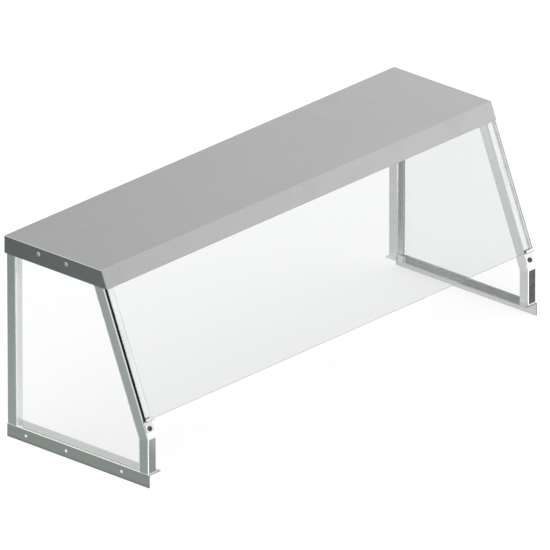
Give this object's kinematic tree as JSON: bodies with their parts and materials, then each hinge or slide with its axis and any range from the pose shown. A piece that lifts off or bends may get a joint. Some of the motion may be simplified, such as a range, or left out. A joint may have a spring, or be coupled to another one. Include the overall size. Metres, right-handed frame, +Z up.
{
  "type": "sneeze guard",
  "caption": "Table-top buffet sneeze guard: folded stainless shelf on two square-tube end frames with clear end panes and a sloped front pane that lifts off its clips.",
  "frame": {"origin": "middle of the overall box at the level of the mounting angles' lower edges", "axes": "+X along the counter, +Y towards the server's side (away from the customer), +Z up"},
  "size_m": [1.5304, 0.5118, 0.5715],
  "materials": {
    "shelf_steel": "satin, fine grain along the shelf",
    "tube_steel": "satin, grain along each tube",
    "angle_steel": "satin, grain along the angle",
    "clip_steel": "fine satin",
    "inner_steel": "mill finish",
    "screw_steel": "smooth, turned",
    "screw_black": "black oxide",
    "nut_steel": "plain",
    "front_pane": "clear, polished edges, faint green edge tint",
    "end_pane": "clear, polished",
    "clear_gasket": "translucent clear sealant",
    "clear_bumper": "translucent clear",
    "liner_rubber": "grey vinyl",
    "foam_strip": "matt black closed-cell"
  },
  "bodies": {
    "frame": {"shelf_top": "shelf_steel", "shelf_stiffener": "inner_steel", "clip_screws": "screw_black", "clip_nuts": "nut_steel", "shelf_screws": "screw_steel", "shelf_nuts": "nut_steel", "left_rear_post": "tube_steel", "left_front_post": "tube_steel", "left_front_foot": "tube_steel", "left_top_rail": "tube_steel", "left_mount_angle": "angle_steel", "left_end_glass": "end_pane", "left_end_glazing": "clear_gasket", "left_glass_clip": "clip_steel", "left_clip_liner": "liner_rubber", "left_glass_pad": "clear_bumper", "left_shelf_pad": "foam_strip", "right_rear_post": "tube_steel", "right_front_post": "tube_steel", "right_front_foot": "tube_steel", "right_top_rail": "tube_steel", "right_mount_angle": "angle_steel", "right_end_glass": "end_pane", "right_end_glazing": "clear_gasket", "right_glass_clip": "clip_steel", "right_clip_liner": "liner_rubber", "right_glass_pad": "clear_bumper", "right_shelf_pad": "foam_strip"},
    "front_pane": {"front_glass": "front_pane"}
  },
  "joints": [
    {"name": "front_glass_lift", "type": "slide", "parent": "frame", "child": "front_pane", "axis": [0, 0.3762, 0.9265], "range_m": [0, 0.018]}
  ]
}
